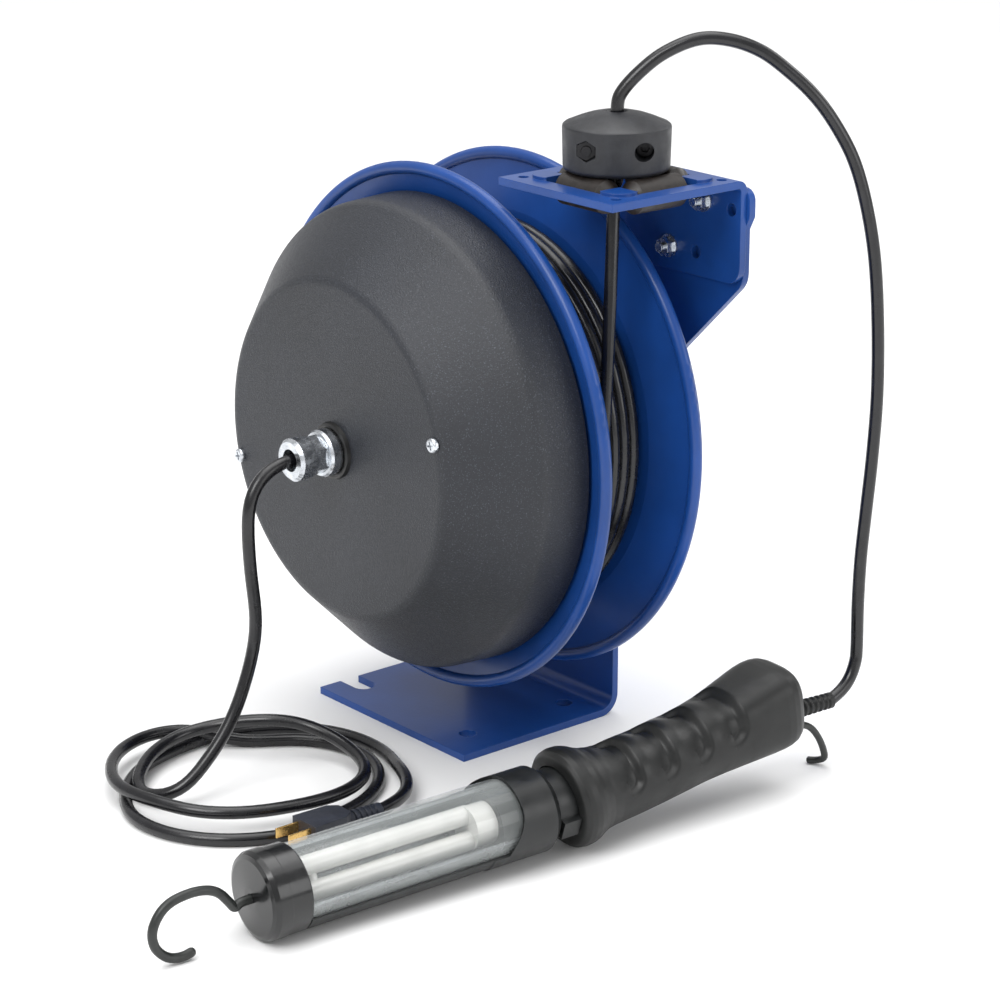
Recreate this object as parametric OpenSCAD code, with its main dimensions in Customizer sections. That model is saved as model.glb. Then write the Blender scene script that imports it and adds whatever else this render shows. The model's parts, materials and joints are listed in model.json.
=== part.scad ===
// Spring-driven cord reel on a bent-plate stand, with a roller guide, a cord stop,
// a plug-in feeder cord and a fluorescent hand lamp on the end of the reel cord.
// Millimetres. +X runs along the reel's axis from the domed cover to the stand's upright,
// -Y is the side where the cord is drawn, +Z is up.
// The origin is the centre of the foot's underside.

/* [Stand] */
// Foot length along the reel's axis
foot_l = 131; // [128:1:134]
// Foot width across the reel's axis
foot_w = 152; // [148:1:156]
// Thickness of the stand's bent plate
plate_t = 4.8; // [4:0.1:5]
// Distance between the foot's two bolt holes
hole_pitch = 82; // [70:1:90]
// Radius of a foot bolt hole
hole_r = 5.6; // [4:0.1:6]

/* [Reel] */
// Height of the reel's axis above the floor
axis_z = 205; // [204:1:208]
// Place of the reel's axis across the foot
axis_y = -21; // [-22:1:-20]
// Outer radius of the reel's two discs
disc_r = 168; // [166:1:168]
// Outer radius of the drum that the cord is wound on
core_r = 101; // [98:1:102]
// Outer radius of the wound cord
wound_r = 128.5; // [120:0.5:128.5]
// Thickness of the disc and cover sheet
sheet_t = 1.5; // [1:0.1:2]

/* [Cord] */
// Diameter of the reel, lamp and feeder cords
cord_d = 8; // [7:0.5:8]

/* [Roller guide] */
// Distance from the guide's centre to each roller's axis
roller_off = 28; // [27:0.5:29]
// Radius of a guide roller
roller_r = 10; // [9:0.5:10]
// Radius of a roller pin
pin_r = 2; // [1.5:0.1:2]

/* [Lamp] */
// Radius of the lamp's end caps
cap_r = 26; // [25.5:0.1:26]
// Outer radius of the lamp's clear lens tube
lens_r = 24; // [23.8:0.1:24]

/* [Hidden] */

$fn = 64;
run_gap = 0.05;
cord_r = cord_d / 2;
blue = [0.08, 0.25, 0.62];
zinc = [0.75, 0.76, 0.78];

// Reel stations along X
upright_x = foot_l / 2 - plate_t;
front_web_x = -36;
back_web_x = 20;
web_r = 130;
rim_r = 4;
front_rim_x = -46;
back_rim_x = 27;
dome_face_x = -123;
dome_face_r = 106;
shoulder_x = -84;
shoulder_r = 148;
skirt_x = -46.2;
post_ring_r = 102;
post_angle = 165;
brush_xs = [-102, -93, -84];
axle_r = 10;
hub_r = 16;

// Ratchet
teeth = 24;
ratchet_x = 35;
ratchet_t = 5;
ratchet_tip_r = 50;
notch_depth = 6;
pawl_angle = -60;
pawl_arm = 35;
pawl_line_r = 56;
pawl_lift = 12;
pawl_pin_r = 4;

// Roller guide, centred above the point where the cord leaves the drum
guide_x = 6.5;
guide_y = -138.5;
guide_top_z = 375.8;
guide_half = 50.5;
guide_left_x = -47;
roller_z = 371.3;
roller_half = roller_off - 4.5;
guide_bolt_at = [[-157, 359], [-128, 326]];
guide_spare_at = [[-181, 357], [-151, 326]];
guide_hole_r = 3.9;
guide_bolt_r = 2.95;
guide_nut_flats = 10;
stop_x = 3.5;
stop_y = -136.5;
stop_z = 381.6;
stop_h = 35;
stop_turn = -44;
stop_bolt_off = 17;
stop_bolt_z = 15.5;
stop_bolt_r = 2.9;
stop_head_y = 9;
stop_nut_y = 20;
run_start = [-22, -155.5, 205];

// Lamp: its head lies along a line turned in plan, and its handle rises from the neck
lamp_at = [-316, -194, 26];
lamp_turn = -4.83;
lamp_pitch = 1.4;
lens_end_x = 176;
collar_x = 150;
collar_end_x = 198;
neck_x = 212;
window_turn = 29;
handle_pitch = 5.8;
handle_l = 175;
relief_drop = -7.6;
hook_drop = -18;

// Feeder cord
coil_at = [-180, -5];
coil_in_r = 46;
coil_out_r = 87;
coil_h = 22;
plug_at = [-190, -116, 9];
plug_l = 30;

// Route of the lamp cord from the cord stop to the lamp's strain relief
lamp_route = [
    [3.5, -136.5, 416.6], [5, -137.5, 426], [13, -143.5, 438], [26, -152, 450], [42, -164, 458],
    [58, -175, 457], [73, -186, 450], [86, -196, 438], [98, -205, 424], [109, -212, 407],
    [119, -219, 385], [126, -224, 358], [131, -228, 325], [134, -230, 285], [135, -231, 240],
    [134, -230, 200], [131.5, -229, 165], [129, -228.5, 135], [127.5, -229, 105], [127.5, -229.5, 76],
    [126, -230, 66], [121.5, -230, 56.5], [114.5, -230, 50.2], [105, -229.6, 45.6]
];

// Route of the feeder cord from the gland down to the coil
drop_route = [
    [-150, -21, 205], [-159, -21, 205], [-170, -21, 202.5], [-180, -21, 196], [-186, -21, 186],
    [-188, -21, 168], [-187, -21, 140], [-184, -21, 107], [-189, -21, 83], [-199, -21, 58],
    [-212, -21, 38], [-228, -20, 22]
];

// Route of the feeder cord from the coil to the plug
tail_route = [[-125, -73, 9], [-124, -90, 9], [-132, -106, 9], [-147, -114.5, 9], [-164, -116, 9]];

function arc(c, r, a0, a1, n) = [
    for (i = [0:n]) let (a = a0 + (a1 - a0) * i / n) c + r * [cos(a), sin(a)]
];

// A smooth route through the points, with the given number of steps between each two
function smooth_at(a, b, c, d, t) =
    0.5 * (2 * b + (c - a) * t + (2 * a - 5 * b + 4 * c - d) * t * t + (3 * b - a - 3 * c + d) * t * t * t);
function smooth(p, steps) = [
    for (i = [0:len(p) - 2], s = [0:steps - 1])
        smooth_at(p[max(i - 1, 0)], p[i], p[i + 1], p[min(i + 2, len(p) - 1)], s / steps),
    p[len(p) - 1]
];

// Direction of a route at each point, and a side vector carried along it without twist
function unit(v) = v / norm(v);
function heading(p, i) = unit(p[min(i + 1, len(p) - 1)] - p[max(i - 1, 0)]);
function square_to(v, h) = unit(v - (v * h) * h);
function side_vectors(p) = [
    for (i = 0, s = square_to([0.3, 0.9, 0.2], heading(p, 0)); i < len(p);
         i = i + 1, s = i < len(p) ? square_to(s, heading(p, i)) : s) s
];

// A round tube along a route, closed at both ends
module tube(p, r, sides) {
    side = side_vectors(p);
    last = len(p) - 1;
    rings = [
        for (i = [0:last], k = [0:sides - 1])
            let (h = heading(p, i), a = 360 * k / sides)
                p[i] + r * (cos(a) * side[i] + sin(a) * cross(h, side[i]))
    ];
    walls = [
        for (i = [0:last - 1], k = [0:sides - 1])
            let (n = (k + 1) % sides)
                [i * sides + k, (i + 1) * sides + k, (i + 1) * sides + n, i * sides + n]
    ];
    start_cap = [[for (k = [0:sides - 1]) k]];
    end_cap = [[for (k = [sides - 1:-1:0]) last * sides + k]];
    polyhedron(rings, concat(walls, start_cap, end_cap), convexity = 10);
}

// Places children on the reel's axis, with their Z along +X
module on_axis(x = 0) {
    translate([x, axis_y, axis_z]) rotate([0, 90, 0]) children();
}

// Turns children so that their X points outward at an angle counted from +Y towards +Z
module at_angle(a) {
    rotate([0, 0, a + 90]) children();
}

// Revolves an outline of [radius, x] points round the reel's axis
module turned(points, fn = 96) {
    on_axis() rotate_extrude($fn = fn) polygon(points);
}

module ring(r_out, r_in, h) {
    difference() {
        cylinder(r = r_out, h = h);
        translate([0, 0, -1]) cylinder(r = r_in, h = h + 2);
    }
}

module hexagon(flats, h) {
    cylinder(r = flats / 2 / cos(30), h = h, $fn = 6);
}

module pan_head(r, h) {
    edge_r = h * 0.6;
    rotate_extrude($fn = 32) polygon(concat(
        [[0, 0], [r, 0]],
        arc([r - edge_r, h - edge_r], edge_r, 0, 90, 5),
        [[0, h]]
    ));
}

// Flat plate in the YZ plane, from x to x + t, with an outline of [y, z] points
module wall(x, t, points) {
    translate([x, 0, 0]) rotate([90, 0, 90]) linear_extrude(t) polygon(points);
}

module x_rod(x0, x1, y, z, r) {
    translate([x0, y, z]) rotate([0, 90, 0]) cylinder(r = r, h = x1 - x0);
}

// ---- Stand ----

module base_frame() {
    bend_r = 14;
    half_l = foot_l / 2;
    half_w = foot_w / 2;
    axle_bolt_r = 25;
    slot_w = 15;
    slot_end_y = half_w - 16;
    upright = concat(
        [[-half_w, bend_r], [-half_w, 203]],
        arc([-172.5, 318], 15, 225, 180, 5),
        [[-187.5, 345], [-191.5, 353], [-191.5, 360.5]],
        arc([-184, 362.5], 7.5, 170, 100, 4),
        [[-88, 371], [half_w, 207], [half_w, bend_r]]
    );
    color(blue) difference() {
        union() {
            translate([-half_l, -half_w, 0]) cube([foot_l - bend_r, foot_w, plate_t]);
            intersection() {
                translate([half_l - bend_r, half_w, bend_r]) rotate([90, 0, 0])
                    ring(bend_r, bend_r - plate_t, foot_w);
                translate([half_l - bend_r, -half_w, 0]) cube([bend_r, foot_w, bend_r]);
            }
            wall(upright_x, plate_t, upright);
        }
        for (s = [-1, 1]) {
            translate([s * hole_pitch / 2, -50, -1]) cylinder(r = hole_r, h = plate_t + 2);
            translate([s * hole_pitch / 2, slot_end_y, -1]) cylinder(r = slot_w / 2, h = plate_t + 2);
            translate([s * hole_pitch / 2 - slot_w / 2, slot_end_y, -1]) cube([slot_w, 30, plate_t + 2]);
        }
        x_rod(upright_x - 1, upright_x + plate_t + 1, axis_y, axis_z, axle_r + 0.1);
        on_axis(upright_x - 1) for (a = [45:90:315])
            at_angle(a) translate([axle_bolt_r, 0, 0]) cylinder(r = 3.3, h = plate_t + 2);
        for (p = guide_bolt_at) x_rod(upright_x - 1, upright_x + plate_t + 1, p[0], p[1], guide_bolt_r + 0.3);
        on_axis(upright_x - 1) at_angle(pawl_angle) translate([pawl_line_r, -pawl_arm, 0])
            cylinder(r = 3.1, h = plate_t + 2);
    }
}

module axle() {
    flange_x = 50.5;
    color(zinc) difference() {
        union() {
            on_axis(-84) cylinder(r = axle_r, h = 84 + upright_x + plate_t + 1);
            on_axis(flange_x) cylinder(r = 34, h = upright_x - flange_x);
            on_axis(-24) cylinder(r = 14, h = 32);
        }
        on_axis(flange_x - 1) for (a = [45:90:315])
            at_angle(a) translate([25, 0, 0]) cylinder(r = 3, h = 20);
        on_axis(-26) at_angle(90) translate([10, -2, 0]) cube([6, 4, 36]);
    }
}

module axle_bolts() {
    color(zinc) on_axis(upright_x + plate_t) for (a = [45:90:315]) at_angle(a) translate([25, 0, 0]) {
        hexagon(10, 4.2);
        translate([0, 0, -plate_t - 8]) cylinder(r = 2.95, h = plate_t + 9);
    }
}

// ---- Roller guide ----

module guide_bracket() {
    fold_r = 7;
    plate_z = guide_top_z - plate_t;
    y0 = guide_y - guide_half;
    width = 2 * guide_half;
    side_z = 311;
    boss_r = 11;
    boss_off = roller_off + 2;
    boss_z = 368;
    corner_hole_x = 42;
    corner_hole_y = 41;
    roller_room = roller_half + 0.7;
    reach = roller_off + roller_r + 0.8;
    flange = concat(
        [[y0, guide_top_z - fold_r], [y0, side_z + 12]],
        arc([y0 + 12, side_z + 12], 12, 180, 250, 5),
        [[y0 + width, side_z], [y0 + width, guide_top_z - fold_r]]
    );
    color(blue) difference() {
        union() {
            translate([guide_left_x, y0, plate_z]) cube([upright_x - fold_r - guide_left_x, width, plate_t]);
            intersection() {
                translate([upright_x - fold_r, y0 + width, guide_top_z - fold_r]) rotate([90, 0, 0])
                    ring(fold_r, fold_r - plate_t, width);
                translate([upright_x - fold_r, y0, guide_top_z - fold_r])
                    cube([fold_r, width, fold_r]);
            }
            wall(upright_x - plate_t, plate_t, flange);
            for (sx = [-1, 1], sy = [-1, 1])
                translate([guide_x + sx * boss_off, guide_y + sy * boss_off, boss_z])
                    cylinder(r = boss_r, h = guide_top_z - boss_z + 2);
        }
        translate([guide_x - reach, guide_y - roller_room, 350]) cube([2 * reach, 2 * roller_room, 40]);
        translate([guide_x - roller_room, guide_y - reach, 350]) cube([2 * roller_room, 2 * reach, 40]);
        for (sx = [-1, 1], sy = [-1, 1])
            translate([guide_x + sx * corner_hole_x, guide_y + sy * corner_hole_y, plate_z - 1])
                cylinder(r = 3.2, h = plate_t + 2);
        for (p = guide_bolt_at) x_rod(upright_x - plate_t - 1, upright_x + 1, p[0], p[1], guide_bolt_r + 0.3);
        for (p = guide_spare_at) x_rod(upright_x - plate_t - 1, upright_x + 1, p[0], p[1], guide_hole_r);
        for (s = [-1, 1]) {
            translate([guide_x + s * roller_off, guide_y - roller_off + pin_r + 0.3, roller_z])
                rotate([-90, 0, 0]) cylinder(r = pin_r, h = 2 * (roller_off - pin_r - 0.3));
            translate([guide_x - roller_off - 6, guide_y + s * roller_off, roller_z])
                rotate([0, 90, 0]) cylinder(r = pin_r, h = 2 * roller_off + 12);
        }
    }
}

module guide_bolts() {
    head_h = 4.2;
    color(zinc) for (p = guide_bolt_at) {
        x_rod(upright_x - plate_t - 9.5, upright_x + plate_t + 1, p[0], p[1], guide_bolt_r);
        translate([upright_x + plate_t, p[0], p[1]]) rotate([0, 90, 0]) hexagon(guide_nut_flats, head_h);
    }
}

module guide_nuts() {
    flange_r = 7.1;
    color(zinc) for (p = guide_bolt_at)
        translate([upright_x - plate_t, p[0], p[1]]) rotate([0, -90, 0]) difference() {
            union() {
                cylinder(r = flange_r, h = 1.4);
                hexagon(guide_nut_flats, 6.5);
            }
            translate([0, 0, -1]) cylinder(r = guide_bolt_r, h = 10);
        }
}

module roller_pins() {
    half_y = roller_off - pin_r - 0.4;
    half_x = roller_off + 5.9;
    color(zinc) for (s = [-1, 1]) {
        translate([guide_x + s * roller_off, guide_y - half_y, roller_z]) rotate([-90, 0, 0])
            cylinder(r = pin_r, h = 2 * half_y);
        translate([guide_x - half_x, guide_y + s * roller_off, roller_z]) rotate([0, 90, 0])
            cylinder(r = pin_r, h = 2 * half_x);
    }
}

// One roller on the Z axis, with mitred ends and a bore for its pin
module guide_roller() {
    full = roller_half - roller_r + 4;
    bore = pin_r + run_gap;
    color([0.13, 0.11, 0.1]) rotate_extrude() polygon([
        [bore, -roller_half], [4, -roller_half], [roller_r, -full], [roller_r, full],
        [4, roller_half], [bore, roller_half]
    ]);
}

module roller_left() {
    translate([guide_x - roller_off, guide_y, roller_z]) rotate([90, 0, 0]) guide_roller();
}

module roller_right() {
    translate([guide_x + roller_off, guide_y, roller_z]) rotate([90, 0, 0]) guide_roller();
}

module roller_near() {
    translate([guide_x, guide_y - roller_off, roller_z]) rotate([0, 90, 0]) guide_roller();
}

module roller_far() {
    translate([guide_x, guide_y + roller_off, roller_z]) rotate([0, 90, 0]) guide_roller();
}

// ---- Cord stop, clamped on the cord above the rollers ----

module stop_place() {
    translate([stop_x, stop_y, stop_z]) rotate([0, 0, stop_turn]) children();
}

module stop_half(side) {
    body = concat(
        [[cord_r, 0], [29, 0]],
        arc([29, 3], 3, -90, 0, 4),
        [[32.5, 25.6], [32.2, 26.8], [31, 27.8], [28, 29], [23.5, 30.9], [18, 32.8], [13, 34], [9, 34.7]],
        [[7, stop_h], [cord_r + 2.5, stop_h], [cord_r, stop_h - 3]]
    );
    color([0.17, 0.18, 0.19]) stop_place() difference() {
        rotate_extrude($fn = 96) polygon(body);
        translate([-50, side > 0 ? -50 : -0.1, -1]) cube([100, 50.1, 60]);
        translate([0, 0, stop_bolt_z]) for (s = [-1, 1]) {
            translate([s * stop_bolt_off, 40, 0]) rotate([90, 0, 0]) cylinder(r = stop_bolt_r + 0.1, h = 80);
            translate([s * stop_bolt_off, -s * stop_head_y, 0]) rotate([s * 90, 0, 0])
                cylinder(r = 5.6, h = 30);
            translate([s * stop_bolt_off, s * stop_nut_y, 0]) rotate([-s * 90, 0, 0]) rotate([0, 0, 90])
                hexagon(11.2, 30);
        }
    }
}

module stop_half_near() {
    stop_half(-1);
}

module stop_half_far() {
    stop_half(1);
}

// The two screws point opposite ways, so each face shows one nut and one head
module stop_screws() {
    head_h = 5;
    length = stop_head_y + stop_nut_y + 6;
    color(zinc) stop_place() translate([0, 0, stop_bolt_z]) for (s = [-1, 1])
        translate([s * stop_bolt_off, -s * stop_head_y, 0]) rotate([-s * 90, 0, 0]) difference() {
            union() {
                translate([0, 0, -head_h]) cylinder(r = 5, h = head_h);
                cylinder(r = stop_bolt_r, h = length);
            }
            translate([0, 0, -head_h - 1]) hexagon(5, 4);
        }
}

module stop_nuts() {
    color([0.12, 0.12, 0.13]) stop_place() translate([0, 0, stop_bolt_z]) for (s = [-1, 1])
        translate([s * stop_bolt_off, s * stop_nut_y, 0]) rotate([-s * 90, 0, 0]) rotate([0, 0, 90])
            difference() {
                hexagon(10.6, 5);
                translate([0, 0, -1]) cylinder(r = stop_bolt_r, h = 8);
            }
}

// The reel cord's visible run, from the winding up between the rollers and through the stop
module reel_cord_run() {
    stop_foot = [stop_x, stop_y, stop_z];
    route = [
        run_start, run_start + 0.5 * (stop_foot - run_start), stop_foot - [0.8, -0.5, 6],
        stop_foot + [0, 0, 6], stop_foot + [0, 0, 0.5 * stop_h], stop_foot + [0, 0, stop_h]
    ];
    color([0.07, 0.07, 0.08]) tube(route, cord_r, 16);
}

// ---- Drum ----

// Rolled edge of a disc
module rim_bead(x) {
    on_axis(x) rotate_extrude($fn = 96) translate([disc_r - rim_r, 0]) circle(r = rim_r, $fn = 32);
}

module front_disc() {
    slope_end = [disc_r - 2 * rim_r, front_rim_x];
    color(blue) difference() {
        union() {
            turned([
                [hub_r, front_web_x], [web_r, front_web_x], slope_end + [1, 0.8], slope_end + [1, -0.8],
                [web_r, front_web_x - sheet_t], [hub_r, front_web_x - sheet_t]
            ]);
            rim_bead(front_rim_x);
        }
        on_axis(front_web_x - 5) for (a = [0, 180])
            at_angle(post_angle + a) translate([post_ring_r, 0, 0]) cylinder(r = 3, h = 10);
    }
}

module back_disc() {
    slope_end = [disc_r - 2 * rim_r, back_rim_x];
    color(blue) {
        turned([
            [hub_r, back_web_x], [web_r, back_web_x], slope_end + [1, -0.8], slope_end + [1, 0.8],
            [web_r, back_web_x + sheet_t], [hub_r, back_web_x + sheet_t]
        ]);
        rim_bead(back_rim_x);
    }
}

module drum_core() {
    color(blue) difference() {
        on_axis(front_web_x) ring(core_r, core_r - sheet_t, back_web_x - front_web_x);
        translate([0, axis_y - core_r, axis_z]) rotate([90, 0, 0]) cylinder(r = 6, h = 20, center = true);
    }
}

module front_hub() {
    color(zinc) turned([
        [13, -42], [hub_r, -42], [hub_r, front_web_x], [36, front_web_x], [36, front_web_x + 3],
        [hub_r + 2, front_web_x + 3], [hub_r + 2, -27], [13, -27]
    ]);
}

module rear_hub() {
    color(zinc) turned([
        [13, 11], [hub_r + 2, 11], [hub_r + 2, 17], [36, 17], [36, back_web_x], [hub_r, back_web_x],
        [hub_r, back_web_x + sheet_t], [20, back_web_x + sheet_t], [20, ratchet_x + ratchet_t + 1],
        [13, ratchet_x + ratchet_t + 1]
    ]);
}

// Flanged bronze bushings that run on the axle
module bushings() {
    bore = axle_r + run_gap;
    color([0.7, 0.52, 0.25]) {
        turned([[bore, -43.5], [hub_r, -43.5], [hub_r, -42], [13, -42], [13, -27], [bore, -27]]);
        turned([
            [bore, 11], [13, 11], [13, ratchet_x + ratchet_t + 1], [17, ratchet_x + ratchet_t + 1],
            [17, ratchet_x + ratchet_t + 2.5], [bore, ratchet_x + ratchet_t + 2.5]
        ]);
    }
}

// Flat spiral spring: its outer turns lie against the drum, its inner turns reach for the axle
module mainspring() {
    turns = 9;
    steps = 20;
    strip = 1.1;
    total = turns * steps;
    outer = core_r - sheet_t - 0.4;
    inner = 14.4;
    function spiral_r(i) = inner + (outer - strip - inner) * pow(i / total, 0.45);
    function at(i, r) = r * [cos(360 * i / steps), sin(360 * i / steps)];
    color([0.33, 0.34, 0.36]) on_axis(-22) linear_extrude(28) polygon(concat(
        [for (i = [0:total]) at(i, spiral_r(i))],
        [for (i = [total:-1:0]) at(i, spiral_r(i) + strip)]
    ));
}

module ratchet_wheel() {
    color(zinc) on_axis(ratchet_x) difference() {
        ring(ratchet_tip_r, 20, ratchet_t);
        for (i = [0:teeth - 1]) at_angle(i * 360 / teeth)
            translate([ratchet_tip_r - notch_depth, 0, -1]) linear_extrude(ratchet_t + 2)
                polygon([[0, -3.6], [notch_depth + 2, -4.4], [notch_depth + 2, 4.4], [0, 3.6]]);
    }
}

module pawl() {
    color(zinc) on_axis(ratchet_x) at_angle(pawl_angle) translate([pawl_line_r, -pawl_arm, 0])
        rotate([0, 0, -pawl_lift]) difference() {
            union() {
                cylinder(r = 9, h = ratchet_t);
                linear_extrude(ratchet_t) polygon([[-4, 5], [9, 0], [5, pawl_arm + 4], [-4, pawl_arm + 4]]);
                translate([-10.5, pawl_arm - 2.2, 0]) cube([10, 4.4, ratchet_t]);
            }
            translate([0, 0, -1]) cylinder(r = pawl_pin_r + run_gap, h = ratchet_t + 2);
        }
}

module pawl_post() {
    shoulder = ratchet_x + ratchet_t + 0.4;
    color(zinc) on_axis(0) at_angle(pawl_angle) translate([pawl_line_r, -pawl_arm, 0]) {
        translate([0, 0, shoulder]) cylinder(r = 7, h = upright_x - shoulder);
        translate([0, 0, ratchet_x - 2]) cylinder(r = pawl_pin_r, h = ratchet_t + 3);
        translate([0, 0, ratchet_x - 2]) cylinder(r = 6.5, h = 1.6);
        translate([0, 0, upright_x - 1]) cylinder(r = 3, h = plate_t + 2);
        translate([0, 0, upright_x + plate_t]) hexagon(10, 4);
    }
}

// Torsion spring round the post: grooved turns and one leg that bears on the pawl
module pawl_spring() {
    turn_count = 4;
    coil_pitch = 2.2;
    coil_r = 9.2;
    groove_r = 8.6;
    in_r = 7.4;
    start_x = 43;
    end_x = start_x + (turn_count - 0.25) * coil_pitch;
    groove = [
        for (i = [0:turn_count - 1], k = [0:3])
            [k == 0 || k == 3 ? groove_r : coil_r, start_x + (i + k / 4) * coil_pitch]
    ];
    color([0.3, 0.3, 0.32]) on_axis(0) at_angle(pawl_angle) translate([pawl_line_r, -pawl_arm, 0]) {
        rotate_extrude() polygon(concat([[in_r, start_x]], groove, [[in_r, end_x]]));
        translate([-1.6, 8, 44]) cube([1.6, 15, 1.6]);
    }
}

// ---- Domed cover and slip rings ----

module dome_cover() {
    hole = 17;
    t = sheet_t;
    outside = concat(
        [[hole, dome_face_x], [dome_face_r - 4, dome_face_x]],
        arc([dome_face_r - 4, dome_face_x + 9], 9, -90, -47, 4),
        arc([shoulder_r - 12, shoulder_x + 10], 12, -47, -3, 5),
        [[shoulder_r + 1.5, skirt_x]]
    );
    inside = concat(
        [[shoulder_r + 1.5 - t, skirt_x]],
        arc([shoulder_r - 12, shoulder_x + 10], 12 - t, -3, -47, 5),
        arc([dome_face_r - 4, dome_face_x + 9], 9 - t, -47, -90, 4),
        [[hole, dome_face_x + t]]
    );
    color([0.22, 0.23, 0.25]) difference() {
        turned(concat(outside, inside), 128);
        on_axis(dome_face_x - 5) for (a = [0, 180])
            at_angle(post_angle + a) translate([post_ring_r, 0, 0]) cylinder(r = 2.4, h = 18);
    }
}

// Two posts riveted to the front disc, with a chamfered end that clears the cover's rounded edge
module cover_posts() {
    post_r = 4.6;
    stud_r = 2.9;
    chamfer = 2;
    x0 = dome_face_x + sheet_t + 0.9;
    length = front_web_x - sheet_t - x0;
    color(zinc) on_axis(x0) for (a = [0, 180]) at_angle(post_angle + a) translate([post_ring_r, 0, 0])
        difference() {
            union() {
                cylinder(r1 = stud_r, r2 = post_r, h = chamfer);
                translate([0, 0, chamfer]) cylinder(r = post_r, h = length - chamfer);
                translate([0, 0, length - 1]) cylinder(r = stud_r, h = sheet_t + 0.9);
            }
            translate([0, 0, -1]) cylinder(r = 2, h = 16);
        }
}

module cover_screws() {
    color(zinc) on_axis(dome_face_x) for (a = [0, 180]) at_angle(post_angle + a)
        translate([post_ring_r, 0, 0]) difference() {
            union() {
                rotate([180, 0, 0]) pan_head(4.6, 2.8);
                translate([0, 0, -0.5]) cylinder(r = 2, h = 12);
            }
            for (t = [0, 90]) rotate([0, 0, t]) translate([-2.6, -0.5, -4]) cube([5.2, 1, 2.6]);
        }
}

module cover_seal() {
    color([0.06, 0.06, 0.06]) turned([
        [13.6, -120.2], [19, -120.2], [19, dome_face_x + sheet_t], [16.9, dome_face_x + sheet_t],
        [16.9, dome_face_x], [18, dome_face_x], [17.4, -125.4], [16, -125.8], [13.6, -125.4]
    ]);
}

module cord_winding() {
    color([0.07, 0.07, 0.08]) on_axis(front_web_x + 0.5)
        ring(wound_r, core_r + 0.2, back_web_x - front_web_x - 1);
}

module slip_ring_core() {
    color([0.16, 0.13, 0.11]) difference() {
        turned([
            [0, -111], [15, -111], [15, -108], [21, -108], [21, -105], [16, -105], [16, -99], [21, -99],
            [21, -96], [16, -96], [16, -90], [21, -90], [21, -87], [16, -87], [16, -81], [21, -81],
            [21, -78], [17, -78], [17, -62], [0, -62]
        ]);
        on_axis(-84) cylinder(r = axle_r, h = 30);
    }
}

module slip_rings() {
    color([0.8, 0.6, 0.3]) for (x = [-105, -96, -87]) on_axis(x + 0.2) ring(19, 16, 5.6);
}

// Bracket from the front disc's web that carries the brushes out to the rings
module brush_holder() {
    color([0.3, 0.2, 0.14]) difference() {
        union() {
            translate([-107, axis_y + 27, axis_z - 9]) cube([28, 12, 18]);
            translate([-79.5, axis_y + 32, axis_z - 9]) cube([79.5 + front_web_x - sheet_t, 7, 18]);
            translate([front_web_x - sheet_t - 3, axis_y + 32, axis_z - 9]) cube([3, 22, 18]);
        }
        for (x = brush_xs)
            translate([x, axis_y + 20, axis_z]) rotate([-90, 0, 0]) cylinder(r = 2.2, h = 30);
    }
}

module brushes() {
    color([0.12, 0.12, 0.13]) for (x = brush_xs)
        translate([x, axis_y + 19.3, axis_z]) rotate([-90, 0, 0]) cylinder(r = 2.1, h = 14);
}

// ---- Cord gland ----

module gland_body() {
    color(zinc) {
        turned([
            [0, -118], [0, -111], [10, -111], [10, -126.4], [14.4, -126.4], [14.8, -128], [14.8, -133],
            [13.6, -134.6], [12, -135], [12, -136], [6.2, -136], [6.2, -118]
        ]);
        on_axis(-144) difference() {
            hexagon(22, 8.5);
            translate([0, 0, -1]) cylinder(r = 6.2, h = 12);
        }
    }
}

module gland_nut() {
    knurls = 16;
    outline = [[7, 0], [11.5, 0], [13.4, 2], [13.4, 11.6], [6.2, 11.6], [6.2, 8], [7, 8]];
    color(zinc) on_axis(-156) difference() {
        rotate_extrude($fn = 48) polygon(outline);
        for (i = [0:knurls - 1]) rotate([0, 0, i * 360 / knurls]) translate([13.8, 0, 6])
            cylinder(r = 0.8, h = 8, $fn = 16);
    }
}

module gland_grommet() {
    color([0.06, 0.06, 0.06]) on_axis(-150) cylinder(r = 6.2, h = 32);
}

// ---- Hand lamp ----

// The lamp's head, with +X running from the front cap to the handle
module on_lamp() {
    translate(lamp_at) rotate([0, -lamp_pitch, lamp_turn]) children();
}

// The handle, with +X running from the neck to the tail
module on_handle() {
    on_lamp() translate([neck_x, 0, 0]) rotate([0, -handle_pitch, 0]) children();
}

// Revolves an outline of [radius, x] points round the lamp's own axis
module lathe(points, fn = 64) {
    rotate([0, 90, 0]) rotate_extrude($fn = fn) polygon(points);
}

module lamp_hook() {
    shank_r = 2.8;
    wire = [
        [-8, 0, -2], [-12, 0, 3], [-17, 0, 9], [-24, 0, 13], [-34, 0, 14.5], [-46, 0, 13],
        [-54, 0, 8], [-59, 0, -1], [-58, 0, -11], [-51, 0, -19], [-42, 0, -21.5], [-34, 0, -20]
    ];
    color([0.1, 0.11, 0.11]) on_lamp() {
        tube(smooth(wire, 3), shank_r, 10);
        translate([-8, 0, 0]) rotate([0, 90, 0]) cylinder(r = shank_r, h = 19);
        translate([10.4, 0, 0]) rotate([0, 90, 0]) cylinder(r = 5, h = 2);
        translate([-8, 0, -1]) sphere(r = shank_r + 0.9);
    }
}

module lamp_cap() {
    color([0.1, 0.11, 0.12]) on_lamp() lathe([
        [2.85, 2], [6, 2], [cap_r - 4, 3.2], [cap_r - 1.4, 4.2], [cap_r, 7], [cap_r, 14.5],
        [cap_r - 3, 14.5], [cap_r - 3, 15.6], [3, 15.6], [3, 14], [6, 14], [6, 10], [2.85, 10]
    ]);
}

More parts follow.
